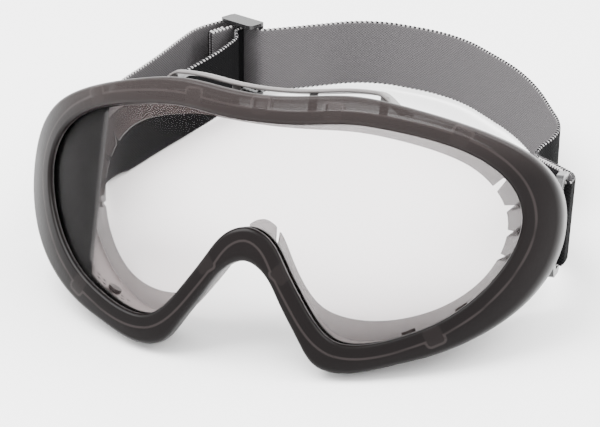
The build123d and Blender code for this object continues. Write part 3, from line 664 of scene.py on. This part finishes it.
def frame_material():
    mat, nt, out = new_material("smoky_rubber")
    tone_value = attribute(nt, "tone")
    edge = attribute(nt, "edge")
    tab = attribute(nt, "tabs")
    height = attribute(nt, "height")
    is_wall = ramp(nt, tone_value, 0.2, 0.8)
    is_flange = ramp(nt, tone_value, 1.2, 1.8)
    cloud = noise(nt, 45.0, 2.0)
    # The rim is painted darker towards the bottom and lighter towards the top: painted shade low down and
    # painted light high up.
    low = mix_colour(nt, ramp(nt, height, -0.9, 0.1), (0.0016, 0.0009, 0.0009), (0.0030, 0.0019, 0.0019))
    rim = mix_colour(nt, ramp(nt, height, 0.35, 0.8), low, (0.020, 0.0155, 0.015))
    rim = mix_colour(nt, math_node(nt, "MULTIPLY", cloud, 0.10), rim, (0.012, 0.009, 0.0088))
    line = math_node(nt, "SUBTRACT", 1.0, ramp(nt, edge, 0.15, 0.55))
    rim = mix_colour(nt, math_node(nt, "MULTIPLY", line, 0.25), rim, (0.06, 0.049, 0.048))
    inside_tab = math_node(nt, "SUBTRACT", 1.0, ramp(nt, tab, -0.4, 0.1))
    rim = mix_colour(nt, math_node(nt, "MULTIPLY", inside_tab, 0.10), rim, (0.035, 0.028, 0.027))
    wall_shade_and_edge_mask = attribute(nt, "wall_shade_and_edge")
    # The wall's inside is painted light (pale grey) and its outside painted shade (near black); on the flange
    # the same mask paints a dark line along the free edge.
    wall = mix_colour(nt, wall_shade_and_edge_mask, (0.42, 0.375, 0.37), (0.016, 0.012, 0.0115))
    flange = mix_colour(nt, wall_shade_and_edge_mask, (0.20, 0.175, 0.172), (0.025, 0.02, 0.02))
    colour = mix_colour(nt, is_wall, rim, wall)
    colour = mix_colour(nt, is_flange, colour, flange)
    # Vent holes are painted as near-black dots: painted shade inside the holes.
    v = attribute(nt, "vent_v")
    row = math_node(nt, "ROUND", v)
    middle_row = math_node(nt, "SUBTRACT", 1.0, math_node(nt, "ABSOLUTE", row), clamp=True)
    u = math_node(nt, "SUBTRACT", attribute(nt, "vent_u"), math_node(nt, "MULTIPLY", middle_row, 0.5))
    du = math_node(nt, "SUBTRACT", u, math_node(nt, "ROUND", u))
    dv = math_node(nt, "SUBTRACT", v, row)
    squared = math_node(nt, "ADD", math_node(nt, "MULTIPLY", du, du), math_node(nt, "MULTIPLY", dv, dv))
    hole_shade = math_node(nt, "SUBTRACT", 1.0, ramp(nt, math_node(nt, "SQRT", squared), 0.2, 0.27))
    in_rows = math_node(nt, "LESS_THAN", math_node(nt, "ABSOLUTE", v), 1.5)
    hole_shade = math_node(nt, "MULTIPLY", math_node(nt, "MULTIPLY", hole_shade, in_rows), attribute(nt, "vent"))
    colour = mix_colour(nt, hole_shade, colour, (0.004, 0.003, 0.003))
    shader = nt.nodes.new("ShaderNodeBsdfPrincipled")
    link(nt, colour, shader.inputs["Base Color"])
    rough = math_node(nt, "ADD", 0.26, math_node(nt, "MULTIPLY", noise(nt, 180.0), 0.12))
    link(nt, rough, shader.inputs["Roughness"])
    shader.inputs["IOR"].default_value = 1.45
    link(nt, bump(nt, noise(nt, 900.0, 2.0), 0.08, 0.0003), shader.inputs["Normal"])
    shader.inputs["Specular IOR Level"].default_value = 0.12
    solid = math_node(nt, "SUBTRACT", 0.997, math_node(nt, "MULTIPLY", ramp(nt, height, 0.45, 0.85), 0.10))
    opacity = math_node(nt, "SUBTRACT", solid, math_node(nt, "MULTIPLY", is_wall, 0.20))
    opacity = math_node(nt, "SUBTRACT", opacity, math_node(nt, "MULTIPLY", is_flange, 0.22))
    link(nt, see_through(nt, shader.outputs[0], opacity), out.inputs["Surface"])
    return mat


def lens_material():
    mat, nt, out = new_material("clear_lens")
    gloss = nt.nodes.new("ShaderNodeBsdfPrincipled")
    gloss.inputs["Base Color"].default_value = (0.02, 0.02, 0.02, 1)
    gloss.inputs["IOR"].default_value = 1.58
    rough = math_node(nt, "ADD", 0.03, math_node(nt, "MULTIPLY", noise(nt, 60.0), 0.03))
    link(nt, rough, gloss.inputs["Roughness"])
    fresnel = nt.nodes.new("ShaderNodeFresnel")
    fresnel.inputs["IOR"].default_value = 1.3
    haze = math_node(nt, "MULTIPLY", noise(nt, 25.0, 2.0), 0.02)
    factor = math_node(nt, "ADD", fresnel.outputs[0], haze, clamp=True)
    link(nt, see_through(nt, gloss.outputs[0], factor, (0.925, 0.905, 0.905)), out.inputs["Surface"])
    return mat


def plastic(name, colour, roughness, scale=160.0, opacity=None, spread=0.25):
    mat, nt, out = new_material(name)
    shader = nt.nodes.new("ShaderNodeBsdfPrincipled")
    lighter = tuple(min(1.0, c * (1 + spread) + 0.004) for c in colour)
    link(nt, mix_colour(nt, noise(nt, scale), colour, lighter), shader.inputs["Base Color"])
    rough = math_node(nt, "ADD", roughness, math_node(nt, "MULTIPLY", noise(nt, scale * 2), 0.12))
    link(nt, rough, shader.inputs["Roughness"])
    link(nt, bump(nt, noise(nt, 1500.0, 2.0), 0.06, 0.0002), shader.inputs["Normal"])
    surface = shader.outputs[0]
    if opacity is not None:
        surface = see_through(nt, surface, opacity)
    link(nt, surface, out.inputs["Surface"])
    return mat


def webbing_material():
    mat, nt, out = new_material("knit_webbing")
    inside = attribute(nt, "inside")
    edge = attribute(nt, "edge")
    along = attribute(nt, "along")
    across = attribute(nt, "across")
    wale = math_node(nt, "SINE", math_node(nt, "MULTIPLY", across, 2 * math.pi / 1.1))
    course = math_node(nt, "SINE", math_node(nt, "MULTIPLY", along, 2 * math.pi / 1.3))
    knit = math_node(nt, "MULTIPLY", wale, course)
    knit01 = math_node(nt, "ADD", 0.5, math_node(nt, "MULTIPLY", knit, 0.5))
    grey = mix_colour(nt, knit01, (0.045, 0.042, 0.044), (0.105, 0.10, 0.103))
    grey = mix_colour(nt, math_node(nt, "MULTIPLY", noise(nt, 600.0), 0.5), grey, (0.07, 0.067, 0.069))
    black = mix_colour(nt, knit01, (0.0012, 0.0012, 0.0014), (0.0038, 0.0038, 0.0042))
    face = mix_colour(nt, ramp(nt, inside, 0.4, 0.6), black, grey)
    teeth = math_node(nt, "SINE", math_node(nt, "MULTIPLY", along, 2 * math.pi / 2.1))
    pale = mix_colour(nt, ramp(nt, teeth, -0.2, 0.2), (0.008, 0.008, 0.009), (0.34, 0.33, 0.33))
    colour = mix_colour(nt, ramp(nt, edge, 0.955, 0.985), face, pale)
    shader = nt.nodes.new("ShaderNodeBsdfPrincipled")
    link(nt, colour, shader.inputs["Base Color"])
    shader.inputs["Roughness"].default_value = 0.85
    shader.inputs["Specular IOR Level"].default_value = 0.04
    link(nt, bump(nt, knit01, 0.6, 0.0004), shader.inputs["Normal"])
    link(nt, shader.outputs[0], out.inputs["Surface"])
    return mat


rubber = frame_material()
webbing = webbing_material()
lens_mat = lens_material()
cover_light = plastic("vent_cover_grey", (0.11, 0.10, 0.098), 0.3, opacity=0.82)
cover_dark = plastic("vent_cover_smoke", (0.045, 0.036, 0.035), 0.3)
black_gloss = plastic("black_plastic", (0.003, 0.003, 0.0034), 0.2)
thread = plastic("thread", (0.02, 0.02, 0.021), 0.7, scale=900.0, spread=1.0)


def paint(obj, mat):
    obj.data.materials.clear()
    obj.data.materials.append(mat)


paint(frame_obj, rubber)
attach(frame_obj, "goggles")
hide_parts("frame_body")
paint(cover_obj, cover_light)
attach(cover_obj, "goggles")
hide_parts("upper_vent_cover")
for obj, node in ((band_obj, "headband_strap"), (inner_obj, "strap_inner_layer"), (hem_obj, "strap_end_hem")):
    paint(obj, webbing)
    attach(obj, "headband")
    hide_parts(node)

for node, mat, slot_name in (
        ("lens", lens_mat, "lens"), ("upper_vent_cover", cover_light, "vent_cover"),
        ("lower_vent_cover_left", cover_dark, "vent_cover_dark"),
        ("lower_vent_cover_right", cover_dark, "vent_cover_dark"),
        ("pivot_cap_left", black_gloss, "black_plastic"), ("pivot_cap_right", black_gloss, "black_plastic"),
        ("strap_clip_left", black_gloss, "black_plastic"), ("strap_clip_right", black_gloss, "black_plastic"),
        ("strap_adjuster", black_gloss, "black_plastic"),
        ("clip_seam_stitching", thread, "thread"), ("hem_stitching", thread, "thread")):
    paint(nodes[node], mat)

# ---------------------------------------------------------------- stage, light and camera
bpy.ops.mesh.primitive_plane_add(size=6.0, location=(0, 1.0, -0.0002))
floor = bpy.context.object
floor.name = "floor"
floor_mat, floor_nt, floor_out = new_material("paper_white")
floor_shader = floor_nt.nodes.new("ShaderNodeBsdfPrincipled")
floor_shader.inputs["Base Color"].default_value = (0.93, 0.93, 0.93, 1)
floor_shader.inputs["Roughness"].default_value = 0.9
link(floor_nt, floor_shader.outputs[0], floor_out.inputs["Surface"])
floor.data.materials.append(floor_mat)
floor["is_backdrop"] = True

world = bpy.data.worlds.new("studio")
bpy.context.scene.world = world
world.use_nodes = True
world.node_tree.nodes["Background"].inputs["Color"].default_value = (1, 1, 1, 1)
world.node_tree.nodes["Background"].inputs["Strength"].default_value = 3.2


def area_light(name, location, target, size, power):
    data = bpy.data.lights.new(name, "AREA")
    data.shape = "SQUARE"
    data.size = size
    data.energy = power
    obj = bpy.data.objects.new(name, data)
    bpy.context.scene.collection.objects.link(obj)
    obj.location = location
    obj.rotation_euler = (Vector(target) - Vector(location)).to_track_quat("-Z", "Y").to_euler()
    return obj


area_light("key", (-0.5, -0.3, 1.1), (0, 0, 0), 0.9, 36)
area_light("fill", (0.8, 0.4, 0.9), (0, 0, 0), 0.8, 18)

camera_data = bpy.data.cameras.new("camera")
camera_data.lens = 108.0
camera_data.sensor_width = 36.0
camera_data.shift_x = 0.0815
camera_data.shift_y = -0.0168
camera_data.clip_end = 20.0
camera = bpy.data.objects.new("camera", camera_data)
bpy.context.scene.collection.objects.link(camera)
turn, drop = math.radians(18.32), math.radians(23.1)
back = Vector((math.sin(turn) * math.cos(drop), -math.cos(turn) * math.cos(drop), math.sin(drop)))
right = Vector((math.cos(turn), math.sin(turn), 0.0))
up = back.cross(right)
rotation = Matrix((right, up, back)).transposed()
camera.matrix_world = Matrix.Translation(Vector((158.4, -570.1, 252.5)) * MM) @ rotation.to_4x4()
bpy.context.scene.camera = camera

bpy.context.view_layer.update()
size_at_end = corners(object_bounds())
